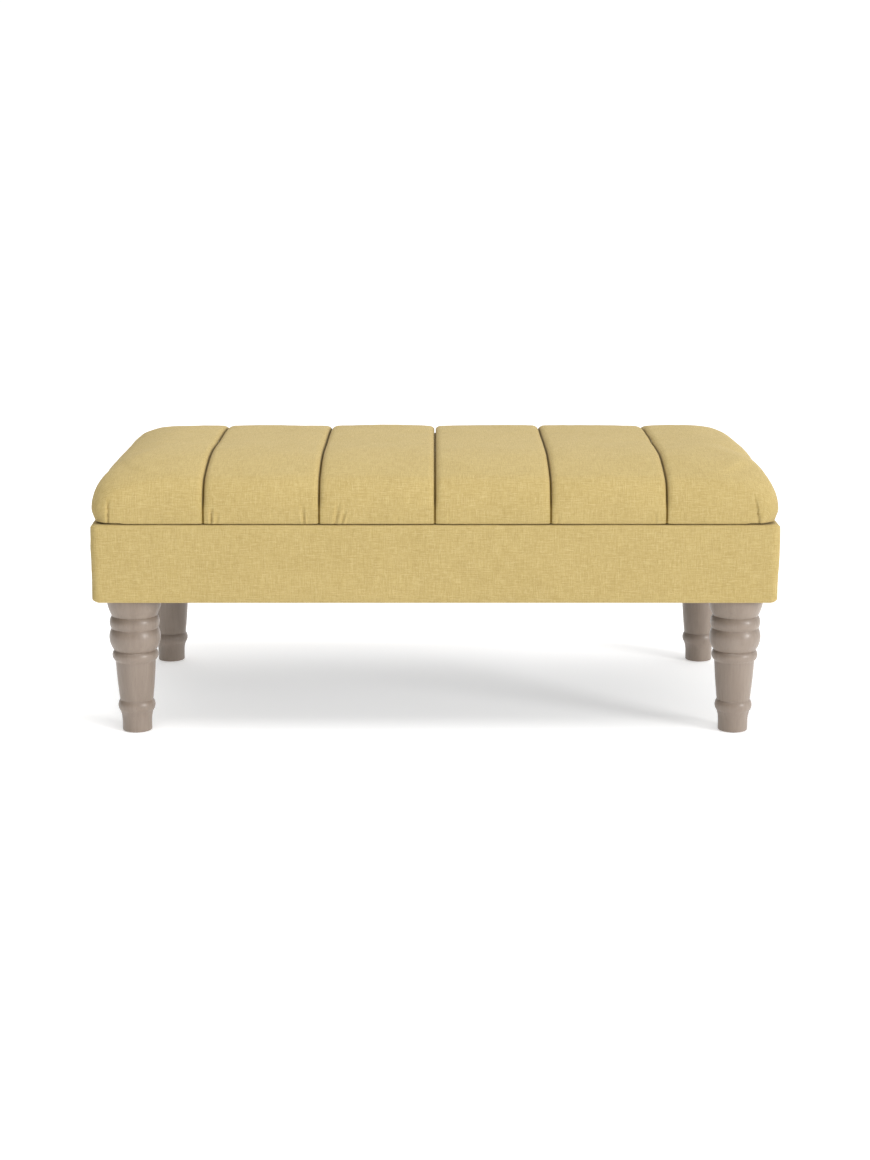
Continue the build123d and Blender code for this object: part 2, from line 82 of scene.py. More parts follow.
# Storage space and the flat cloths (mm)
INSIDE_HX = 527.0
INSIDE_HY = 282.0
INSIDE_Z = 258.0
INSIDE_CORNER_R = 1.2
LINING_THICK = 0.55
CLOTH_THICK = 0.6
BOARD_HX = 521.0
BOARD_HY = 278.0

# Hinges (mm): middles, axis (y, z), and the room that the fabric leaves for them.
HINGE_XS = (-370.0, 0.0, 370.0)
HINGE_YZ = (301.0, 354.0)
LEAF_SIDE = (32.6, 35.5)
LEAF_START = (281.0, 282.8)
LEAF_BAND = 2.1
LEAF_PRESS = 2.6
BARREL_ROOM = 4.2
REAR_ONLY = 290.0


# ------------------------------------------------------------------ numbers
def smooth(edge0, edge1, value):
    """0 below edge0, 1 above edge1, smooth between."""
    t = np.clip((value - edge0) / (edge1 - edge0), 0.0, 1.0)
    return t * t * (3.0 - 2.0 * t)


def ripple(points, shortest, longest, seed, waves=26):
    """Smooth unevenness of unit size: plane waves in fixed directions, wavelengths in mm."""
    rng = np.random.default_rng(seed)
    total = np.zeros(points.shape[:-1])
    for _ in range(waves):
        heading = rng.normal(size=3)
        heading /= np.linalg.norm(heading)
        wavelength = rng.uniform(shortest, longest)
        total += np.sin(points @ heading * (2 * pi / wavelength) + rng.uniform(0, 2 * pi))
    return total / sqrt(waves / 2)


# ------------------------------------------------------------------ mesh helpers
def new_mesh(name, verts, faces, weave=None, painted_fold_shade=None):
    """Object from vertices in mm, with weave coordinates (mm along both yarns) and the amount of painted
    shade for seams and pleats.
    """
    mesh = bpy.data.meshes.new(name)
    mesh.from_pydata((np.asarray(verts, float).reshape(-1, 3) * MM).tolist(), [], faces)
    if weave is not None:
        flat = np.zeros((len(mesh.vertices), 3))
        flat[:, :2] = np.asarray(weave, float).reshape(-1, 2) * MM
        attribute = mesh.attributes.new("weave", "FLOAT_VECTOR", "POINT")
        attribute.data.foreach_set("vector", flat.ravel())
    if painted_fold_shade is not None:
        attribute = mesh.attributes.new("painted_fold_shade", "FLOAT", "POINT")
        attribute.data.foreach_set("value", np.asarray(painted_fold_shade, float).ravel())
    mesh.update()
    piece = bpy.data.objects.new(name, mesh)
    bpy.context.scene.collection.objects.link(piece)
    return piece


def tidy_mesh(piece, merge=0.00002, smooth_angle=50.0):
    """Merge doubles, point all faces outwards and shade smoothly below an angle."""
    bm = bmesh.new()
    bm.from_mesh(piece.data)
    bmesh.ops.remove_doubles(bm, verts=bm.verts, dist=merge)
    bmesh.ops.dissolve_degenerate(bm, edges=bm.edges, dist=merge / 2)
    bmesh.ops.recalc_face_normals(bm, faces=bm.faces)
    limit = radians(smooth_angle)
    for edge in bm.edges:
        if len(edge.link_faces) == 2:
            edge.smooth = edge.calc_face_angle(0.0) < limit
    for face in bm.faces:
        face.smooth = True
    bm.to_mesh(piece.data)
    bm.free()


def grid_faces(rows, cols, start=0, wrap_cols=False, wrap_rows=False):
    """Quads between the points of a rows x cols grid."""
    faces = []
    for i in range(rows if wrap_rows else rows - 1):
        below = (i + 1) % rows
        for j in range(cols if wrap_cols else cols - 1):
            right = (j + 1) % cols
            here, next_row = start + i * cols, start + below * cols
            faces.append((here + j, here + right, next_row + right, next_row + j))
    return faces


# ------------------------------------------------------------------ lid shape
def crown_rows(arcs, top_u):
    """Rows (inset, height, lean) from the underside round the edge to the middle of the top.

    lean is the angle of the outward normal from straight up, in degrees. The last arc's
    radius is worked out so that it ends level at the lid's top.
    """
    rows = [(RETURN, LID_Z0 + 1.3, 180.0), (RETURN - 0.6, LID_Z0 + 0.2, 180.0)]
    rows += [(u, LID_Z0, 180.0) for u in (22.0, 15.0, 8.0)]
    for lean in np.linspace(180.0, 90.0, 7):
        angle = radians(lean)
        rows.append((TUCK_R * (1 - np.sin(angle)), LID_Z0 + TUCK_R * (1 + np.cos(angle)), lean))
    rows += [(0.0, z, 90.0) for z in np.linspace(LID_Z0 + TUCK_R, LID_SIDE_TOP, 6)[1:]]
    u, z, lean = rows[-1]
    for number, (turn, steps) in enumerate(ARC_TURNS):
        if number < len(arcs):
            arc_r = arcs[number]
        else:
            arc_r = (LID_TOP - z) / (1 - np.cos(radians(turn)))
        for step in range(1, steps + 1):
            angle = lean - turn * step / steps
            rows.append((
                u + arc_r * (np.sin(radians(lean)) - np.sin(radians(angle))),
                z + arc_r * (np.cos(radians(angle)) - np.cos(radians(lean))),
                angle,
            ))
        u, z, lean = rows[-1]
    rows += [(x, LID_TOP, 0.0) for x in np.linspace(u, top_u, 10)[1:]]
    return np.array(rows)


def left_over(rows, half):
    """How much longer the fabric is than the plan, from each row to the middle of the lid."""
    steps = np.hypot(np.diff(rows[:, 0]), np.diff(rows[:, 1]))
    from_top = np.concatenate([np.cumsum(steps[::-1])[::-1], [0.0]])
    return from_top - (half - rows[:, 0])


SIDE_ROWS = crown_rows(SIDE_ARCS, LID_HY)
END_ROWS = crown_rows(END_ARCS, END_INNER_U)
SIDE_SPARE = left_over(SIDE_ROWS, LID_HY)
END_SPARE = left_over(END_ROWS, END_INNER_U)


def from_seam(length, pitch=2.0):
    """Distances from a seam: close together at the seam, then evenly spaced."""
    near = np.array((0.0, 0.35, 0.8, 1.0, 1.12, 1.2, 1.32, 1.6, 2.0, 2.6, 3.4, 4.4, 5.6, 7.0))
    return np.concatenate([near, np.linspace(7.0, length, max(2, round((length - 7.0) / pitch)) + 1)[1:]])


def middle_panel_grid(x0, x1):
    """Points, normals and weave coordinates of a panel between two seams."""
    ramp = from_seam((x1 - x0) / 2)
    xs = np.concatenate([x0 + ramp, (x1 - ramp)[::-1][1:]])
    last = len(SIDE_ROWS) - 1
    profile = [(-1, row) for row in range(last + 1)] + [(1, row) for row in range(last - 1, -1, -1)]
    points, normals, weave = [], [], []
    for side, row in profile:
        u, z, lean = SIDE_ROWS[row]
        lean = radians(lean)
        y = side * (LID_HY - u)
        points.append([(x, y, z) for x in xs])
        normals.append([(0.0, side * np.sin(lean), np.cos(lean))] * len(xs))
        weave.append([(x, y + side * SIDE_SPARE[row]) for x in xs])
    return np.array(points), np.array(normals), np.array(weave)


def end_panel_grid(seam, corner=30, end=200):
    """The same for the right-hand end panel: loops from seam to seam round the end."""
    full = LID_HX + END_BULGE
    run_t = from_seam(150.0) / 150.0
    points, normals, weave = [], [], []
    for row, (side_row, end_row) in enumerate(zip(SIDE_ROWS, END_ROWS)):
        (u, z, lean), (ux, end_z, _) = side_row, end_row
        bulge = END_BULGE * smooth(LID_Z0, LID_SIDE_TOP, end_z)
        hx, hy = full - END_BULGE + bulge - ux, LID_HY - u
        radius = min(CORNER_R0 + CORNER_GROWTH * ux, 0.98 * hy + 0.02, 0.7 * (hx - seam))
        if lean > 179.0 and ux > TUCK_R:
            radius = max(CORNER_R0 - ux, 0.5)
        cx, cy = hx - radius, hy - radius
        quarter = np.linspace(0, pi / 2, corner + 1)
        loop = [(seam + (cx - seam) * t, -hy, 0.0) for t in run_t]
        loop += [(cx + radius * np.sin(a), -cy - radius * np.cos(a), a) for a in quarter[1:]]
        loop += [(hx, y, pi / 2) for y in np.linspace(-cy, cy, end + 1)[1:-1]]
        loop += [(cx + radius * np.cos(a), cy + radius * np.sin(a), pi / 2 + a) for a in quarter]
        loop += [(seam + (cx - seam) * t, hy, pi) for t in run_t[::-1][1:]]
        row_points, row_normals, row_weave = [], [], []
        for x, y, heading in loop:
            share = np.sin(heading) ** 2
            tilt = radians(lean)
            row_points.append((x, y, z + (end_z - z) * share))
            flat = np.sin(tilt)
            row_normals.append((np.sin(heading) * flat, -np.cos(heading) * flat, np.cos(tilt)))
            row_weave.append((x + END_SPARE[row] * share, y + np.sign(y) * SIDE_SPARE[row] * (1 - share)))
        points.append(row_points)
        normals.append(row_normals)
        weave.append(row_weave)
    return np.array(points), np.array(normals), np.array(weave)


# Gathers at the lid's lower edge: (x, half width, depth, height, slant), mm.
FRONT_GATHERS = (
    (-358.0, 1.7, 2.8, 32.0, 0.05), (-349.0, 1.8, 1.5, 20.0, 0.22), (-209.0, 1.9, 2.4, 34.0, -0.10),
    (-203.0, 1.6, 1.2, 20.0, -0.05), (-160.0, 2.2, 2.4, 40.0, 0.18), (-149.0, 1.9, 2.0, 30.0, 0.26),
    (-141.0, 1.6, 0.9, 18.0, 0.30), (196.0, 2.0, 1.1, 22.0, 0.1), (22.0, 2.0, 0.9, 20.0, 0.1),
    (-438.0, 2.4, 0.7, 20.0, 0.0), (352.0, 1.8, 1.2, 22.0, -0.1), (-60.0, 2.4, 0.7, 18.0, 0.1),
)
REAR_GATHERS = (
    (-296.0, 2.2, 1.9, 32.0, -0.1), (-171.0, 1.9, 2.2, 34.0, 0.18), (16.0, 2.0, 2.2, 34.0, 0.15),
    (109.0, 2.2, 1.2, 24.0, -0.1), (352.0, 1.8, 2.4, 32.0, -0.2), (431.0, 2.2, 1.0, 22.0, 0.1),
)
END_GATHERS = (
    (-262.0, 1.9, 2.2, 34.0, 0.10), (-96.0, 2.4, 1.2, 24.0, -0.1), (84.0, 2.4, 1.3, 26.0, 0.15),
    (266.0, 1.9, 2.3, 34.0, -0.12),
)
# Folded corner pleats on the front and rear faces: (x, half width, depth, height, slant).
PLEATS = ((-523.0, 1.3, 3.4, 46.0, 0.03), (518.0, 1.3, 3.0, 48.0, -0.16))


def gather_relief(along, height, gathers):
    """Outward relief of soft grooves that fade upwards from the lower edge."""
    relief = np.zeros_like(along)
    for at, half, depth, tall, slant in gathers:
        offset = (along - at - slant * (height - LID_Z0)) / (half * (1 + 0.02 * (height - LID_Z0)))
        fade = 1 - smooth(0.25 * tall, tall, height - LID_Z0)
        relief -= 1.05 * depth * fade * np.exp(-(offset**2))
        relief += 0.42 * depth * fade * np.exp(-((np.abs(offset) - 2.0) ** 2))
    return relief


def pleat_relief(x, height):
    """A sharp tuck with the fabric standing a little higher on its outer side."""
    relief = np.zeros_like(x)
    for at, half, depth, tall, slant in PLEATS:
        offset = (x - at - slant * (height - LID_Z0)) * np.sign(at)
        fade = 1 - smooth(0.55 * tall, tall, height - LID_Z0)
        relief -= depth * fade * np.exp(-((offset / half) ** 2))
        relief += 1.3 * fade * np.exp(-np.clip(offset, 0, None) / 9.0) * (offset > 0)
        relief -= 0.9 * fade * np.exp(-np.clip(-offset, 0, None) / 12.0) * (offset <= 0)
    return relief


def seam_relief(x, z):
    """Round shoulders that drop into the narrow slot of each stitched seam.

    Low on the sides the lid board is close behind, so there the seam is shallower.
    """
    gap = np.min([np.abs(x - seam) for seam in SEAMS], axis=0)
    near = SHOULDER_R - np.clip(gap - SLOT_HALF, 0, SHOULDER_R)
    shoulder = 0.66 * (SHOULDER_R - np.sqrt(SHOULDER_R**2 - near**2))
    pillow = 2.0 * (1 - np.clip(gap, 0, 60) / 60) ** 2
    slot = SLOT_DEPTH * (1 - smooth(SLOT_HALF - 0.15, SLOT_HALF + 0.15, gap))
    deep = shoulder + pillow + slot
    shallow = np.minimum(BOARD_ROOM, 0.24 * (shoulder + pillow) + 0.7 * slot)
    share = smooth(373.0, 393.0, z)
    return -(shallow * (1 - share) + deep * share)


def seam_and_pleat_shade(points, normals):
    """Amount of painted shade: 1 deep in the seams and pleats, falling to 0 within a few millimetres."""
    x, z = points[..., 0], points[..., 2]
    gap = np.min([np.abs(x - seam) for seam in SEAMS], axis=0)
    painted_fold_shade = np.exp(-((gap / 1.75) ** 2)) + 0.16 * np.exp(-gap / 4.0)
    upright = normals[..., 1] ** 2
    for at, half, _, tall, slant in PLEATS:
        offset = (x - at - slant * (z - LID_Z0)) / half
        fade = 1 - smooth(0.5 * tall, tall, z - LID_Z0)
        painted_fold_shade = np.maximum(painted_fold_shade, 0.25 * upright * np.exp(-(offset**2)) * fade)
    return np.clip(painted_fold_shade, 0, 1)


def fullness(points, normals):
    """Ends stand fuller at their upper edge; their top corners and the top settle a little."""
    x, y = points[..., 0], points[..., 1]
    rear_and_front = 5.0 * smooth(110.0, 225.0, y) + 2.5 * smooth(120.0, 235.0, -y)
    settle = smooth(455.0, 530.0, np.abs(x)) * rear_and_front
    upper_end = np.clip(2 * np.abs(normals[..., 0]) * normals[..., 2], 0, 1) ** 2
    return upper_end * np.where(x > 0, 1.6, 3.2) - (1.2 + settle) * np.clip(normals[..., 2], 0, 1) ** 3


def hip_relief(points):
    """The right-hand end is a little fuller, with one shallow hollow in its upper edge."""
    x, y, z = points[..., 0], points[..., 1], points[..., 2]
    upper = smooth(385.0, 415.0, z) * (1 - smooth(440.0, 454.0, z)) * smooth(455.0, 505.0, x)
    full = 3.2 * np.exp(-(((y + 175) / 60) ** 2)) + 3.4 * np.exp(-(((y - 30) / 75) ** 2))
    return upper * (full - 3.4 * np.exp(-(((y + 88) / 24) ** 2)))


def lid_relief(points, normals):
    """How far the finished fabric stands off the plain crowned form, along its normal."""
    x, y, z = points[..., 0], points[..., 1], points[..., 2]
    front = np.clip(-normals[..., 1], 0, 1) * (y < 0)
    rear = np.clip(normals[..., 1], 0, 1) * (y > 0)
    end = np.abs(normals[..., 0])
    under = smooth(0.5, 0.95, -normals[..., 2])
    relief = seam_relief(x, z) * (1 - 0.6 * under)
    relief += gather_relief(x, z, FRONT_GATHERS) * front
    relief += gather_relief(x, z, REAR_GATHERS) * rear
    relief += gather_relief(y * np.sign(x), z, END_GATHERS) * end
    relief += pleat_relief(x, z) * (front + rear) * (1 - end**2)
    relief += hip_relief(points) + fullness(points, normals)
    relief += 0.38 * ripple(points, 70.0, 190.0, 11) * (1 - under)
    relief += 0.10 * ripple(points, 16.0, 42.0, 12) * (1 - under)
    drop = smooth(0.3, 0.95, -normals[..., 2]) * (1 - smooth(5.0, 12.0, LID_HY + y)) * (np.abs(x) < 500)
    open_room = rear * (1 - smooth(*OPEN_ROOM_TOP, z))
    return relief + drop - OPEN_ROOM * open_room


def clear_hinges(points, lift):
    """Press the fabric back round the hinge leaves and barrels; lift is -1 down or 1 up."""
    y_axis, z_axis = HINGE_YZ
    x, y, z = points[..., 0], points[..., 1], points[..., 2]
    near = np.max([1 - smooth(*LEAF_SIDE, np.abs(x - at)) for at in HINGE_XS], axis=0)
    leaf = near * smooth(*LEAF_START, y) * (np.abs(z - z_axis) < LEAF_BAND)
    points[..., 2] = z + lift * LEAF_PRESS * leaf
    dy, dz = y - y_axis, points[..., 2] - z_axis
    reach = np.hypot(dy, dz) + 1e-9
    push = near * np.clip(BARREL_ROOM - reach, 0, None) * (y > REAR_ONLY)
    points[..., 1] = y + push * dy / reach
    points[..., 2] += push * dz / reach
    return points


def lid_surface(panel, inset=0.0):
    """Finished points, weave and painted seam shade of one panel, 0 to 5 from the left, moved in by inset.
    """
    left_end, right_end = panel == 0, panel == 5
    if left_end or right_end:
        points, normals, weave = end_panel_grid(SEAMS[-1] + SEAM_GAP + inset)
        if left_end:
            for array in (points, normals, weave):
                array[..., 0] *= -1
    else:
        x0, x1 = SEAMS[panel - 1] + SEAM_GAP + inset, SEAMS[panel] - SEAM_GAP - inset
        points, normals, weave = middle_panel_grid(x0, x1)
    painted_fold_shade = seam_and_pleat_shade(points, normals)
    points = points + normals * (lid_relief(points, normals) - inset)[..., None]
    return clear_hinges(points, 1.0), weave, painted_fold_shade


def close_panel(panel, rows, cols, start):
    """Faces of one closed panel on a rows x cols grid of points."""
    faces = grid_faces(rows, cols, start)
    at = lambda i, j: start + i * cols + j
    if panel in (0, 5):
        faces.append(tuple(at(0, j) for j in range(cols)))
        wall = [at(i, 0) for i in range(rows)] + [at(i, cols - 1) for i in range(rows - 2, -1, -1)]
        faces.append(tuple(wall))
    else:
        faces += [(at(0, j), at(0, j + 1), at(rows - 1, j + 1), at(rows - 1, j)) for j in range(cols - 1)]
        faces.append(tuple(at(i, 0) for i in range(rows)))
        faces.append(tuple(at(i, cols - 1) for i in range(rows)))
    return faces


def build_lid_panel(panel):
    """One sewn channel of the lid as a closed padded form."""
    points, weave, painted_fold_shade = lid_surface(panel)
    rows, cols = points.shape[:2]
    piece = new_mesh(f"lid_channel_{panel + 1}", points, close_panel(panel, rows, cols, 0), weave, painted_fold_shade)
    tidy_mesh(piece)
    return piece


def build_foam():
    """The grooved foam slab under the fabric."""
    verts, faces, start = [], [], 0
    for panel in range(len(SEAMS) + 1):
        points, _, _ = lid_surface(panel, inset=FOAM_INSET)
        rows, cols = points.shape[:2]
        verts.append(points.reshape(-1, 3))
        faces += close_panel(panel, rows, cols, start)
        start += rows * cols
    piece = new_mesh("lid_foam_slab", np.concatenate(verts), faces)
    tidy_mesh(piece)
    return piece


# ------------------------------------------------------------------ loops round the box
def plan_loop(hx, hy, radius, long_steps=150, short_steps=84, corner=9):
    """Rounded rectangle: points, outward directions and distance run, starting rear middle."""
    cx, cy = hx - radius, hy - radius
    runs = (
        (cx, -cy, cx, cy, short_steps), (cx, cy, -cx, cy, long_steps),
        (-cx, cy, -cx, -cy, short_steps), (-cx, -cy, cx, -cy, long_steps),
    )
    points, outs = [], []
    for side, (x0, y0, x1, y1, steps) in enumerate(runs):
        heading = side * pi / 2
        out = np.array((np.cos(heading), np.sin(heading)))
        for t in np.linspace(0, 1, steps + 1):
            points.append(np.array((x0 + (x1 - x0) * t, y0 + (y1 - y0) * t)) + out * radius)
            outs.append(out)
        for t in np.linspace(0, 1, corner + 1)[1:-1]:
            turn = heading + t * pi / 2
            out = np.array((np.cos(turn), np.sin(turn)))
            points.append(np.array((x1, y1)) + out * radius)
            outs.append(out)
    return np.array(points), np.array(outs)


def arc_rows(o, z, radius, start, stop, steps):
    """(outset, height, lean) rows on an arc about (o, z); lean counts from straight up."""
    rows = []
    for lean in np.linspace(start, stop, steps + 1):
        angle = radians(lean)
        rows.append((o + radius * np.sin(angle), z + radius * np.cos(angle), lean))
    return rows


def wrap_solid(name, rows, relief):
    """Closed ring: rows of a closed cross-section carried round the base outline."""
    points, weave, previous, run = [], [], None, 0.0
    ref, _ = plan_loop(BASE_HX, BASE_HY, BASE_CORNER_R)
    around = np.concatenate([[0.0], np.cumsum(np.linalg.norm(np.diff(ref, axis=0), axis=1))])
    for o, z, lean in rows:
        flat, outs = plan_loop(BASE_HX + o, BASE_HY + o, max(BASE_CORNER_R + o, 0.6))
        if previous is not None:
            run += np.hypot(o - previous[0], z - previous[1])
        previous = (o, z)
        tilt = radians(lean)
        normal = np.column_stack([outs * np.sin(tilt), np.full(len(outs), np.cos(tilt))])
        place = np.column_stack([flat, np.full(len(flat), z)])
        points.append(place + normal * relief(place, normal)[:, None])
        weave.append(np.column_stack([around, np.full(len(flat), run)]))
    points = clear_hinges(np.array(points), -1.0)
    faces = grid_faces(len(rows), len(ref), wrap_cols=True, wrap_rows=True)
    piece = new_mesh(name, points, faces, np.array(weave))
    tidy_mesh(piece)
    return piece


def base_relief(place, normal):
    """Taut cover over thin wadding: slightly fuller near the top, faintly uneven."""
    z = place[..., 2]
    face = smooth(0.6, 1.0, np.hypot(normal[..., 0], normal[..., 1]))
    belly = 0.9 * np.exp(-(((z - 318.0) / 38.0) ** 2)) - 0.5 * np.exp(-(((z - 262.0) / 30.0) ** 2))
    uneven = 0.30 * ripple(place, 80.0, 220.0, 21) + 0.10 * ripple(place, 18.0, 46.0, 22)
    rim = smooth(0.7, 1.0, normal[..., 2])
    ends = 2.2 * np.abs(normal[..., 0]) ** 2
    rim_rise = 0.10 * rim * ripple(place, 30.0, 80.0, 23)
    return face * (belly + uneven - 0.2 + ends) + rim_rise


def build_base_cover():
    """The fabric wrapped over the rim, down the sides and under the rails."""
    outer = [(-23.0, BASE_Z1 - 0.05, 0.0), (-19.0, BASE_Z1, 0.0), (-14.5, BASE_Z1, 0.0)]
    outer += arc_rows(-RIM_R, BASE_Z1 - RIM_R, RIM_R, 0.0, 90.0, 10)
    outer += [(0.0, z, 90.0) for z in np.linspace(BASE_Z1 - RIM_R, BASE_Z0 + FOOT_EDGE_R, 21)[1:-1]]
    outer += arc_rows(-FOOT_EDGE_R, BASE_Z0 + FOOT_EDGE_R, FOOT_EDGE_R, 90.0, 180.0, 8)
    outer += [(-10.0, BASE_Z0, 180.0), (-14.0, BASE_Z0, 180.0)]
    inner_r = FOOT_EDGE_R - COVER_THICK
    inner = [(-14.0, BASE_Z0 + COVER_THICK, 180.0)]
    inner += arc_rows(-FOOT_EDGE_R, BASE_Z0 + FOOT_EDGE_R, inner_r, 180.0, 90.0, 5)
    inner_zs = np.linspace(BASE_Z0 + FOOT_EDGE_R, BASE_Z1 - RIM_R, 21)[1:-1]
    inner += [(-COVER_THICK, z, 90.0) for z in inner_zs]
    inner += arc_rows(-RIM_R, BASE_Z1 - RIM_R, RIM_R - COVER_THICK, 90.0, 0.0, 10)
    inner += [(-22.9, BASE_Z1 - COVER_THICK, 0.0)]
    return wrap_solid("base_upholstery", outer + inner, base_relief)


def build_wadding():
    """Wadding between the rails and the cover, following the cover from inside."""
    outer = [(-9.0, BASE_Z1 - 3.2, 0.0)]
    outer += arc_rows(-8.5, BASE_Z1 - 9.5, 6.6, 10.0, 90.0, 6)
    outer += [(-1.9, z, 90.0) for z in np.linspace(BASE_Z1 - 10.5, BASE_Z0 + 9.0, 19)]
    outer += arc_rows(-7.0, BASE_Z0 + 8.0, 5.0, 90.0, 150.0, 4)
    inner = [(-4.4, z, 90.0) for z in np.linspace(BASE_Z0 + 6.0, BASE_Z1 - 8.0, 21)]
    return wrap_solid("base_wadding_layer", outer + inner, base_relief)


def build_lining():
    """Thin lining folded up the inside walls, closed with its own thickness."""
    def relief(place, normal):
        raised = smooth(255.0, 270.0, place[..., 2] + 6 * (normal[..., 2] > 0.5))
        return 0.22 * ripple(place, 24.0, 90.0, 31) * raised

    def loop(o):
        return plan_loop(INSIDE_HX + o, INSIDE_HY + o, INSIDE_CORNER_R, 120, 70, 3)

    wall = [(-0.1, BASE_Z1 - 0.1), (-0.5, BASE_Z1 + 0.1), (-1.0, BASE_Z1 - 0.3)]
    wall += [(-1.0, z) for z in np.linspace(348.0, 264.0, 14)]
    wall += [(-1.2, 261.5), (-2.0, 259.4), (-3.8, 258.3), (-8.0, INSIDE_Z)]
    floor = [(-o, INSIDE_Z) for o in np.linspace(25.0, 272.0, 22)]
    rows = wall + floor
    points, weave, run, last = [], [], 0.0, None
    for o, z in rows:
        flat, outs = loop(o)
        run += 0.0 if last is None else np.hypot(o - last[0], z - last[1])
        last = (o, z)
        on_floor = o < -5.0
        normal = np.column_stack([-outs * (not on_floor), np.full(len(outs), float(on_floor))])
        place = np.column_stack([flat, np.full(len(flat), z)])
        points.append(place + normal * relief(place, normal)[:, None])
        weave.append(place[:, :2] + outs * (run if not on_floor else 0.0))
    points, weave = np.array(points), np.array(weave)
    under = points.copy()
    on_wall = np.array([o >= -2.5 for o, _ in rows])
    under[:, :, 2] -= LINING_THICK * ~on_wall[:, None]
    under[on_wall, :, :2] += loop(0.0)[1] * LINING_THICK
    rows_n, cols = points.shape[:2]
    faces = grid_faces(rows_n, cols, 0, wrap_cols=True)
    faces += [tuple(reversed(f)) for f in grid_faces(rows_n, cols, rows_n * cols, wrap_cols=True)]
    at = lambda layer, i, j: layer * rows_n * cols + i * cols + j % cols
    faces += [(at(0, 0, j), at(0, 0, j + 1), at(1, 0, j + 1), at(1, 0, j)) for j in range(cols)]
    faces.append(tuple(at(0, rows_n - 1, j) for j in range(cols)))
    faces.append(tuple(at(1, rows_n - 1, j) for j in range(cols)))
    verts = np.concatenate([points.reshape(-1, 3), under.reshape(-1, 3)])
    piece = new_mesh("storage_lining_cloth", verts, faces, np.concatenate([weave.reshape(-1, 2)] * 2))
    tidy_mesh(piece)
    return piece


def build_cloth(name, hx, hy, z, height):
    """Stretched rectangular cloth with its own thickness; height gives its relief in mm."""
    xs = np.linspace(-hx, hx, 141)
    ys = np.linspace(-hy, hy, 77)
    gx, gy = np.meshgrid(xs, ys)
    low = np.stack([gx, gy, z + height(gx, gy)], axis=-1)
    high = low + np.array((0.0, 0.0, CLOTH_THICK))
    rows, cols = gx.shape
    faces = grid_faces(rows, cols) + grid_faces(rows, cols, rows * cols)
    rim = [(0, j) for j in range(cols)] + [(i, cols - 1) for i in range(1, rows)]
    rim += [(rows - 1, j) for j in range(cols - 2, -1, -1)] + [(i, 0) for i in range(rows - 2, 0, -1)]
    ids = [i * cols + j for i, j in rim]
    for a, b in zip(ids, ids[1:] + ids[:1]):
        faces.append((a, b, b + rows * cols, a + rows * cols))
    coords = np.stack([gx, gy], axis=-1).reshape(-1, 2)
    verts = np.concatenate([low.reshape(-1, 3), high.reshape(-1, 3)])
    piece = new_mesh(name, verts, faces, np.concatenate([coords] * 2))
    tidy_mesh(piece)
    return piece


def build_staples(name, hx, hy, z, pitch):
    """Wire staples round a rectangle, driven upwards, their crowns flat on the cloth."""
    verts, faces = [], []
    rng = np.random.default_rng(5)
    spots = [(x, side * hy, 0.0) for side in (-1, 1) for x in np.arange(-hx + pitch / 2, hx, pitch)]
    spots += [(side * hx, y, pi / 2) for side in (-1, 1) for y in np.arange(-hy + pitch / 2, hy, pitch)]
    half, wire, leg = 5.0, 0.55, 3.0
    bend = 0.8
    path = (
        (-half, leg), (-half, bend), (-half + bend, 0.0),
        (half - bend, 0.0), (half, bend), (half, leg),
    )
    for x, y, turn in spots:
        turn += rng.normal(0, 0.12)
        along = np.array((np.cos(turn), np.sin(turn), 0.0))
        across = np.array((-np.sin(turn), np.cos(turn), 0.0))
        start = len(verts)
        for k, (a, h) in enumerate(path):
            centre = np.array((x, y, z)) + along * a + np.array((0, 0, h))
            inner = np.array((0, 0, 1)) * wire if 0 < k < 5 else along * wire * (1 if a < 0 else -1)
            for corner in (-across * wire, across * wire, across * wire + inner, -across * wire + inner):
                verts.append(centre + corner)
        for k in range(len(path) - 1):
            for c in range(4):
                a, b = start + k * 4 + c, start + k * 4 + (c + 1) % 4
                faces.append((a, b, b + 4, a + 4))
        faces.append(tuple(range(start, start + 4)))
        faces.append(tuple(range(start + 20, start + 24)))
    piece = new_mesh(name, np.array(verts), faces)
    tidy_mesh(piece, smooth_angle=20.0)
    return piece


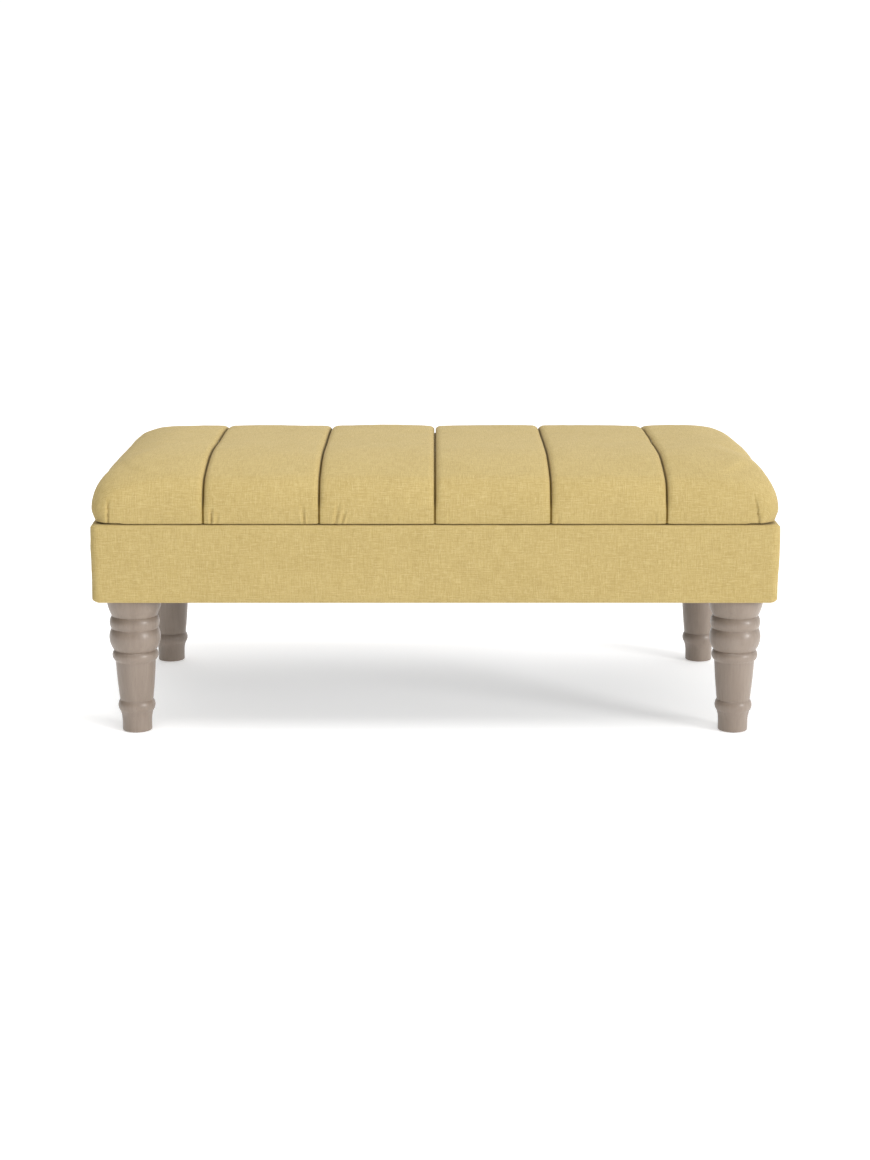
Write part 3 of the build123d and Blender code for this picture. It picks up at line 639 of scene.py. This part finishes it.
# ------------------------------------------------------------------ materials
class Nodes:
    """Small helper that adds and links shader nodes."""

    def __init__(self, name, color, roughness):
        self.material = bpy.data.materials.new(name)
        self.material.use_nodes = True
        self.tree = self.material.node_tree
        self.shader = self.tree.nodes["Principled BSDF"]
        self.shader.inputs["Roughness"].default_value = roughness
        self.shader.inputs["Base Color"].default_value = (*color, 1.0)

    def add(self, kind, **settings):
        node = self.tree.nodes.new(kind)
        for key, value in settings.items():
            setattr(node, key, value)
        return node

    def link(self, source, target):
        self.tree.links.new(source, target)

    def coords(self, attribute, scale):
        """Coordinates (metres) from a named attribute or the object, scaled per axis."""
        if attribute:
            source = self.add("ShaderNodeAttribute", attribute_name=attribute).outputs["Vector"]
        else:
            source = self.add("ShaderNodeTexCoord").outputs["Object"]
        mapping = self.add("ShaderNodeMapping")
        mapping.inputs["Scale"].default_value = scale
        self.link(source, mapping.inputs["Vector"])
        return mapping.outputs["Vector"]

    def noise(self, vector, detail=3.0, rough=0.5, distortion=0.0):
        node = self.add("ShaderNodeTexNoise")
        node.inputs["Scale"].default_value = 1.0
        node.inputs["Detail"].default_value = detail
        node.inputs["Roughness"].default_value = rough
        node.inputs["Distortion"].default_value = distortion
        self.link(vector, node.inputs["Vector"])
        return node.outputs["Fac"]

    def voronoi(self, vector):
        node = self.add("ShaderNodeTexVoronoi")
        node.inputs["Scale"].default_value = 1.0
        self.link(vector, node.inputs["Vector"])
        return node.outputs["Distance"]

    def math(self, operation, a, b=None):
        node = self.add("ShaderNodeMath", operation=operation)
        for socket, value in zip(node.inputs, (a, b)):
            if value is None:
                continue
            if isinstance(value, (int, float)):
                socket.default_value = value
            else:
                self.link(value, socket)
        return node.outputs[0]

    def ramp(self, factor, low, high, out_low=0.0, out_high=1.0):
        node = self.add("ShaderNodeMapRange", interpolation_type="SMOOTHSTEP")
        limits = {"From Min": low, "From Max": high, "To Min": out_low, "To Max": out_high}
        for key, value in limits.items():
            node.inputs[key].default_value = value
        self.link(factor, node.inputs["Value"])
        return node.outputs["Result"]

    def mix(self, factor, a, b):
        node = self.add("ShaderNodeMix", data_type="RGBA")
        for socket, value in ((node.inputs[0], factor), (node.inputs[6], a), (node.inputs[7], b)):
            if isinstance(value, tuple):
                socket.default_value = (*value, 1.0)
            elif isinstance(value, (int, float)):
                socket.default_value = value
            else:
                self.link(value, socket)
        return node.outputs[2]

    def finish(self, color=None, roughness=None, height=None, strength=0.3, distance=0.0005, **sockets):
        if color is not None:
            self.link(color, self.shader.inputs["Base Color"])
        if roughness is not None:
            self.link(roughness, self.shader.inputs["Roughness"])
        if height is not None:
            bump = self.add("ShaderNodeBump")
            bump.inputs["Strength"].default_value = strength
            bump.inputs["Distance"].default_value = distance
            self.link(height, bump.inputs["Height"])
            self.link(bump.outputs["Normal"], self.shader.inputs["Normal"])
        for key, value in sockets.items():
            self.shader.inputs[key.replace("_", " ")].default_value = value
        return self.material


YARN_PITCH = 0.00105  # metres
WELD_PITCH = 0.0022


def split(nodes, vector):
    parts = nodes.add("ShaderNodeSeparateXYZ")
    nodes.link(vector, parts.inputs[0])
    return parts.outputs


def yarn_weave(nodes, pitch):
    """Plain weave height 0..1: rounded yarns that pass over and under each other."""
    wobble = nodes.noise(nodes.coords("weave", (260.0, 260.0, 1.0)), detail=2.0)
    shift = nodes.math("MULTIPLY", nodes.math("SUBTRACT", wobble, 0.5), 1.6)
    out = split(nodes, nodes.coords("weave", (pi / pitch, pi / pitch, 1.0)))
    a = nodes.math("ADD", out[0], shift)
    b = nodes.math("ADD", out[1], shift)
    sin_a, sin_b = nodes.math("SINE", a), nodes.math("SINE", b)
    cos_a, cos_b = nodes.math("COSINE", a), nodes.math("COSINE", b)
    warp = nodes.math("ABSOLUTE", sin_a)
    weft = nodes.math("ABSOLUTE", sin_b)
    over = nodes.ramp(nodes.math("MULTIPLY", cos_a, cos_b), -0.35, 0.35)
    inverse = nodes.math("SUBTRACT", 1.0, over)
    top = nodes.math("ADD", nodes.math("MULTIPLY", warp, over), nodes.math("MULTIPLY", weft, inverse))
    crossing = nodes.math("MULTIPLY", nodes.math("MINIMUM", warp, weft), 0.3)
    return nodes.math("ADD", nodes.math("MULTIPLY", top, 0.7), crossing), over


def linen_material(name):
    """Mustard linen-look plain weave with slubs in both directions, with painted shade between the yarns
    and in the seams and pleats.
    """
    nodes = Nodes(name, (0.46, 0.36, 0.15), 0.86)
    weave, over = yarn_weave(nodes, YARN_PITCH)
    fine_x = nodes.noise(nodes.coords("weave", (120.0, 760.0, 1.0)), detail=2.0)
    fine_y = nodes.noise(nodes.coords("weave", (760.0, 120.0, 1.0)), detail=2.0)
    slub_x = nodes.noise(nodes.coords("weave", (46.0, 640.0, 1.0)), detail=2.0, rough=0.6)
    slub_y = nodes.noise(nodes.coords("weave", (640.0, 42.0, 1.0)), detail=2.0, rough=0.6)
    long_x = nodes.noise(nodes.coords("weave", (30.0, 620.0, 1.0)), detail=2.0)
    long_y = nodes.noise(nodes.coords("weave", (620.0, 30.0, 1.0)), detail=2.0)
    mottle = nodes.noise(nodes.coords("weave", (11.0, 11.0, 1.0)), detail=2.0)
    thick = nodes.math("MAXIMUM", nodes.ramp(slub_x, 0.56, 0.70), nodes.ramp(slub_y, 0.57, 0.71))
    thin = nodes.math("MAXIMUM", nodes.ramp(slub_x, 0.44, 0.31), nodes.ramp(slub_y, 0.43, 0.30))
    flecks = nodes.math("MAXIMUM", nodes.ramp(fine_x, 0.55, 0.72), nodes.ramp(fine_y, 0.56, 0.73))
    dashes = nodes.math("MAXIMUM", nodes.ramp(fine_x, 0.44, 0.28), nodes.ramp(fine_y, 0.44, 0.28))
    base = nodes.mix(nodes.ramp(mottle, 0.35, 0.65), (0.455, 0.343, 0.130), (0.475, 0.360, 0.140))
    base = nodes.mix(nodes.ramp(long_x, 0.42, 0.62, 0.0, 0.44), base, (0.545, 0.420, 0.185))
    base = nodes.mix(nodes.ramp(long_y, 0.42, 0.62, 0.0, 0.40), base, (0.385, 0.280, 0.098))
    base = nodes.mix(nodes.math("MULTIPLY", thick, 0.50), base, (0.620, 0.495, 0.245))
    base = nodes.mix(nodes.math("MULTIPLY", thin, 0.42), base, (0.335, 0.238, 0.076))
    base = nodes.mix(nodes.math("MULTIPLY", flecks, 0.32), base, (0.630, 0.510, 0.260))
    base = nodes.mix(nodes.math("MULTIPLY", dashes, 0.34), base, (0.315, 0.224, 0.070))
    # Painted shade: the low parts of the weave between the yarns are darkened.
    yarn_gap_shade = nodes.ramp(weave, 0.05, 0.55, 0.50, 0.0)
    base = nodes.mix(yarn_gap_shade, base, (0.235, 0.170, 0.055))
    base = nodes.mix(nodes.math("MULTIPLY", over, 0.12), base, (0.560, 0.450, 0.210))
    # Painted shade: the seams and pleats are darkened towards dark brown, where shade falls in them.
    painted_fold_shade = nodes.add("ShaderNodeAttribute", attribute_name="painted_fold_shade").outputs["Fac"]
    base = nodes.mix(nodes.math("MULTIPLY", painted_fold_shade, 0.88), base, (0.170, 0.098, 0.001))
    height = nodes.math("ADD", nodes.math("MULTIPLY", weave, 0.75), nodes.math("MULTIPLY", thick, 0.55))
    height = nodes.math("ADD", height, nodes.math("MULTIPLY", flecks, 0.35))
    rough = nodes.ramp(weave, 0.0, 1.0, 0.94, 0.80)
    return nodes.finish(
        base, rough, height, 0.55, 0.00035, Sheen_Weight=0.10, Sheen_Roughness=0.45,
        Sheen_Tint=(1.0, 0.95, 0.82, 1.0), Specular_IOR_Level=0.25,
    )


def leg_material(name):
    """Turned hardwood under a grey-taupe wash, satin lacquered."""
    nodes = Nodes(name, (0.36, 0.29, 0.235), 0.4)
    grain = nodes.noise(nodes.coords("", (330.0, 330.0, 13.0)), detail=4.0, rough=0.6, distortion=0.25)
    broad = nodes.noise(nodes.coords("", (48.0, 48.0, 4.0)), detail=2.0, distortion=0.6)
    pores = nodes.noise(nodes.coords("", (1500.0, 1500.0, 60.0)), detail=2.0)
    turned = nodes.noise(nodes.coords("", (6.0, 6.0, 900.0)), detail=2.0)
    patches = nodes.noise(nodes.coords("", (26.0, 26.0, 14.0)), detail=3.0)
    color = nodes.mix(nodes.ramp(broad, 0.34, 0.68), (0.256, 0.203, 0.162), (0.226, 0.176, 0.138))
    color = nodes.mix(nodes.ramp(grain, 0.50, 0.74, 0.0, 0.30), color, (0.172, 0.130, 0.100))
    color = nodes.mix(nodes.ramp(grain, 0.44, 0.28, 0.0, 0.22), color, (0.325, 0.270, 0.226))
    color = nodes.mix(nodes.ramp(pores, 0.60, 0.72, 0.0, 0.30), color, (0.150, 0.113, 0.086))
    color = nodes.mix(nodes.ramp(patches, 0.50, 0.75, 0.0, 0.20), color, (0.312, 0.258, 0.215))
    height = nodes.math("ADD", nodes.math("MULTIPLY", grain, -0.5), nodes.math("MULTIPLY", pores, -0.5))
    height = nodes.math("ADD", height, nodes.math("MULTIPLY", turned, 0.25))
    rough = nodes.ramp(grain, 0.3, 0.75, 0.36, 0.52)
    return nodes.finish(color, rough, height, 0.18, 0.00025, Coat_Weight=0.16, Coat_Roughness=0.22)


def board_material(name, light, dark, veneer):
    """Raw timber: growth rings, fibres and, for plywood, thin glue lines."""
    nodes = Nodes(name, light, 0.7)
    rings = nodes.noise(nodes.coords("", (9.0, 120.0, 120.0)), detail=4.0, distortion=1.4)
    fibres = nodes.noise(nodes.coords("", (60.0, 1400.0, 1400.0)), detail=3.0)
    color = nodes.mix(nodes.ramp(rings, 0.35, 0.66), light, dark)
    color = nodes.mix(nodes.ramp(fibres, 0.50, 0.72, 0.0, 0.4), color, tuple(0.6 * c for c in dark))
    height = nodes.math("MULTIPLY", fibres, -1.0)
    if veneer:
        layer = split(nodes, nodes.coords("", (2100.0, 2100.0, 2100.0)))[2]
        glue = nodes.ramp(nodes.math("ABSOLUTE", nodes.math("SINE", layer)), 0.16, 0.02, 0.0, 0.35)
        color = nodes.mix(glue, color, tuple(0.35 * c for c in dark))
    return nodes.finish(color, nodes.ramp(rings, 0.3, 0.7, 0.62, 0.78), height, 0.3, 0.0003)


def foam_material(name, tint, cell, fluffy):
    """Open-cell foam, or fibrous wadding when fluffy."""
    nodes = Nodes(name, tint, 0.95)
    scale = (cell, cell, cell)
    if fluffy:
        pattern = nodes.noise(nodes.coords("", scale), detail=6.0, rough=0.7, distortion=2.2)
    else:
        pattern = nodes.voronoi(nodes.coords("", scale))
    mottle = nodes.noise(nodes.coords("", (30.0, 30.0, 30.0)), detail=3.0)
    color = nodes.mix(nodes.ramp(pattern, 0.15, 0.7), tuple(0.72 * c for c in tint), tint)
    color = nodes.mix(nodes.ramp(mottle, 0.35, 0.75, 0.0, 0.3), color, tuple(0.85 * c for c in tint))
    return nodes.finish(color, nodes.ramp(mottle, 0.2, 0.8, 0.9, 1.0), pattern, 0.5, 0.0008)


def spunbond_material(name, dark, light):
    """Black non-woven cloth: random fibres pressed with a fine diamond of weld points."""
    nodes = Nodes(name, dark, 0.8)
    fine = nodes.coords("weave", (900.0, 900.0, 900.0))
    fibres = nodes.noise(fine, detail=4.0, rough=0.7, distortion=2.5)
    cloud = nodes.noise(nodes.coords("weave", (35.0, 35.0, 35.0)), detail=3.0)
    out = split(nodes, nodes.coords("weave", (pi / WELD_PITCH,) * 3))
    up = nodes.math("SINE", nodes.math("ADD", out[0], out[1]))
    down = nodes.math("SINE", nodes.math("SUBTRACT", out[0], out[1]))
    weld = nodes.ramp(nodes.math("MULTIPLY", up, down), 0.45, 0.85)
    color = nodes.mix(nodes.ramp(fibres, 0.35, 0.72), dark, light)
    color = nodes.mix(nodes.ramp(cloud, 0.35, 0.7, 0.0, 0.12), color, tuple(1.4 * c for c in light))
    color = nodes.mix(nodes.math("MULTIPLY", weld, 0.55), color, tuple(0.5 * c for c in dark))
    height = nodes.math("SUBTRACT", nodes.math("MULTIPLY", fibres, 0.6), weld)
    rough = nodes.ramp(weld, 0.0, 1.0, 0.85, 0.6)
    return nodes.finish(color, rough, height, 0.45, 0.0003, Sheen_Weight=0.1)


def steel_material(name):
    """Zinc-plated pressed steel with faint brushing, spangle and scuffs."""
    nodes = Nodes(name, (0.62, 0.62, 0.6), 0.35)
    brush = nodes.noise(nodes.coords("", (90.0, 1800.0, 1800.0)), detail=3.0)
    spangle = nodes.voronoi(nodes.coords("", (260.0, 260.0, 260.0)))
    scuff = nodes.noise(nodes.coords("", (120.0, 120.0, 120.0)), detail=5.0, rough=0.7)
    color = nodes.mix(nodes.ramp(spangle, 0.1, 0.7), (0.66, 0.66, 0.64), (0.52, 0.53, 0.53))
    color = nodes.mix(nodes.ramp(scuff, 0.58, 0.75, 0.0, 0.5), color, (0.38, 0.37, 0.36))
    rough = nodes.math("ADD", nodes.ramp(scuff, 0.3, 0.75, 0.22, 0.5), nodes.math("MULTIPLY", brush, 0.12))
    return nodes.finish(color, rough, brush, 0.12, 0.0002, Metallic=1.0)


def moulded_material(name, tint, roughness):
    """Moulded rubber or nylon: fine eruption texture and dusty patches."""
    nodes = Nodes(name, tint, roughness)
    fine = nodes.noise(nodes.coords("", (1400.0, 1400.0, 1400.0)), detail=3.0)
    dust = nodes.noise(nodes.coords("", (160.0, 160.0, 160.0)), detail=4.0)
    dusty = tuple(min(1.0, 2.4 * c + 0.02) for c in tint)
    color = nodes.mix(nodes.ramp(dust, 0.5, 0.75, 0.0, 0.4), tint, dusty)
    rough = nodes.ramp(dust, 0.3, 0.7, roughness - 0.1, roughness + 0.1)
    return nodes.finish(color, rough, fine, 0.3, 0.0002)


MATERIALS = {
    "upholstery_fabric": linen_material("linen_weave"),
    "leg_wood": leg_material("washed_wood"),
    "frame_ply": board_material("raw_plywood", (0.66, 0.50, 0.31), (0.50, 0.34, 0.18), True),
    "frame_timber": board_material("raw_softwood", (0.68, 0.50, 0.29), (0.52, 0.34, 0.16), False),
    "foam": foam_material("open_cell_foam", (0.84, 0.80, 0.64), 1500.0, False),
    "wadding": foam_material("polyester_wadding", (0.86, 0.86, 0.83), 260.0, True),
    "lining_fabric": spunbond_material("lining_cloth", (0.030, 0.029, 0.028), (0.085, 0.082, 0.078)),
    "under_cloth": spunbond_material("dust_cloth", (0.022, 0.022, 0.022), (0.065, 0.065, 0.065)),
    "zinc_steel": steel_material("zinc_plate"),
    "rubber_buffer": moulded_material("rubber", (0.035, 0.035, 0.035), 0.75),
    "glide_plastic": moulded_material("nylon", (0.12, 0.11, 0.10), 0.5),
}
SLOT_OF = {row["node"]: row["material_slot"] for row in frame["record"]["subparts"]}


def place(piece, body, slot, *nodes):
    """Give a finished piece the material of its slot, attach it to its body and hide the CAD nodes it
    stands for.
    """
    piece.data.materials.clear()
    piece.data.materials.append(MATERIALS[slot])
    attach(piece, body)
    if nodes:
        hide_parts(*nodes)
    return piece


# ------------------------------------------------------------------ the object
for node_name, node in frame["nodes"].items():
    node.data.materials.clear()
    node.data.materials.append(MATERIALS[SLOT_OF[node_name]])

for number in range(len(SEAMS) + 1):
    cad_panel = f"lid_cover_panel_{number + 1}"
    panel_piece = place(build_lid_panel(number), "lid", "upholstery_fabric", cad_panel)

place(build_foam(), "lid", "foam", "lid_foam")
place(build_base_cover(), "base", "upholstery_fabric", "base_cover")
place(build_wadding(), "base", "wadding", "base_wadding")

lining = place(build_lining(), "base", "lining_fabric", "storage_lining")


def sag(x, y):
    """Slack of the dust cloth between the rails, with faint pulls from its staples."""
    inside = smooth(0, 90, INSIDE_HX - np.abs(x)) * smooth(0, 90, INSIDE_HY - np.abs(y))
    spots = np.stack([x, y, 0 * x], axis=-1)
    pulls = 0.25 * ripple(spots, 40.0, 130.0, 41)
    near_leg = np.exp(-(((np.abs(x) - 491) / 60) ** 2 + ((np.abs(y) - 246) / 60) ** 2))
    return (-2.2 * inside + pulls * inside) * (1 - near_leg)


def taut(x, y):
    """Almost flat cloth stapled to the lid board."""
    spots = np.stack([x, y, 0 * x], axis=-1)
    edge = smooth(0, 30, BOARD_HX - np.abs(x)) * smooth(0, 30, BOARD_HY - np.abs(y))
    return 0.12 * ripple(spots, 30.0, 110.0, 42) * edge


dust_mesh = build_cloth("dust_cloth", 536.0, 291.0, 225.05, sag)
dust = place(dust_mesh, "base", "under_cloth", "under_cloth")
backing_mesh = build_cloth("lid_backing_cloth", BOARD_HX, BOARD_HY, 355.2, taut)
backing = place(backing_mesh, "lid", "lining_fabric", "lid_underside_cloth")
place(build_staples("dust_cloth_staples", 531.5, 286.5, 224.75, 58.0), "base", "zinc_steel")
place(build_staples("lid_cloth_staples", 514.0, 271.0, 354.95, 62.0), "lid", "zinc_steel")


# ------------------------------------------------------------------ stage, light and camera
def build_stage():
    """Seamless white floor."""
    size = 60000.0
    corners = np.array([(-size, -size, 0), (size, -size, 0), (size, size, 0), (-size, size, 0)])
    floor = new_mesh("studio_floor", corners, [(0, 1, 2, 3)])
    nodes = Nodes("studio_white", (0.92, 0.92, 0.92), 0.9)
    nodes.shader.inputs["Specular IOR Level"].default_value = 0.0
    nodes.shader.inputs["Emission Color"].default_value = (1.0, 1.0, 1.0, 1.0)
    nodes.shader.inputs["Emission Strength"].default_value = 0.40
    floor.data.materials.append(nodes.material)


def area_light(name, place_m, aim_m, size, power):
    """Square soft box aimed at a point."""
    data = bpy.data.lights.new(name, "AREA")
    data.shape = "RECTANGLE"
    data.size, data.size_y = size
    data.energy = power
    lamp = bpy.data.objects.new(name, data)
    lamp.location = place_m
    aim = Vector(aim_m) - Vector(place_m)
    lamp.rotation_euler = aim.to_track_quat("-Z", "Y").to_euler()
    bpy.context.scene.collection.objects.link(lamp)


def studio_world():
    """Soft white surroundings, bright behind and dimmer on the left and in front."""
    world = bpy.data.worlds.new("studio")
    world.use_nodes = True
    tree = world.node_tree
    background = tree.nodes["Background"]
    background.inputs["Color"].default_value = (1.0, 1.0, 1.0, 1.0)
    direction = tree.nodes.new("ShaderNodeTexCoord")
    parts = tree.nodes.new("ShaderNodeSeparateXYZ")
    tree.links.new(direction.outputs["Generated"], parts.inputs[0])
    strength = tree.nodes.new("ShaderNodeMath")
    strength.operation = "MULTIPLY"
    dimmed = (("X", -0.95, -0.22, 0.08), ("Y", -0.90, 0.30, 0.50))
    for socket, (axis, low, high, dim) in enumerate(dimmed):
        ramp = tree.nodes.new("ShaderNodeMapRange")
        ramp.interpolation_type = "SMOOTHSTEP"
        limits = {"From Min": low, "From Max": high, "To Min": dim, "To Max": 1.02}
        for key, value in limits.items():
            ramp.inputs[key].default_value = value
        tree.links.new(parts.outputs[axis], ramp.inputs["Value"])
        tree.links.new(ramp.outputs["Result"], strength.inputs[socket])
    tree.links.new(strength.outputs[0], background.inputs["Strength"])
    return world


def build_camera():
    """Straight-on view of the front from a little above the lid."""
    data = bpy.data.cameras.new("camera")
    data.lens = 69.83
    data.sensor_width = 36.0
    data.clip_end = 300.0
    camera = bpy.data.objects.new("camera", data)
    camera.location = (0.0, -3.838, 0.9905)
    camera.rotation_euler = (radians(78.38), 0.0, 0.0)
    bpy.context.scene.collection.objects.link(camera)
    return camera


build_stage()
area_light("key_soft_box", (15.6, -12.0, 6.0), (0.0, -0.1, 0.2), (6.0, 6.0), 2200.0)
area_light("top_soft_box", (0.0, -1.1, 3.4), (0.0, 0.0, 0.4), (2.0, 2.0), 58.0)
bpy.context.scene.world = studio_world()
bpy.context.scene.view_settings.view_transform = "Standard"
bpy.context.scene.camera = build_camera()
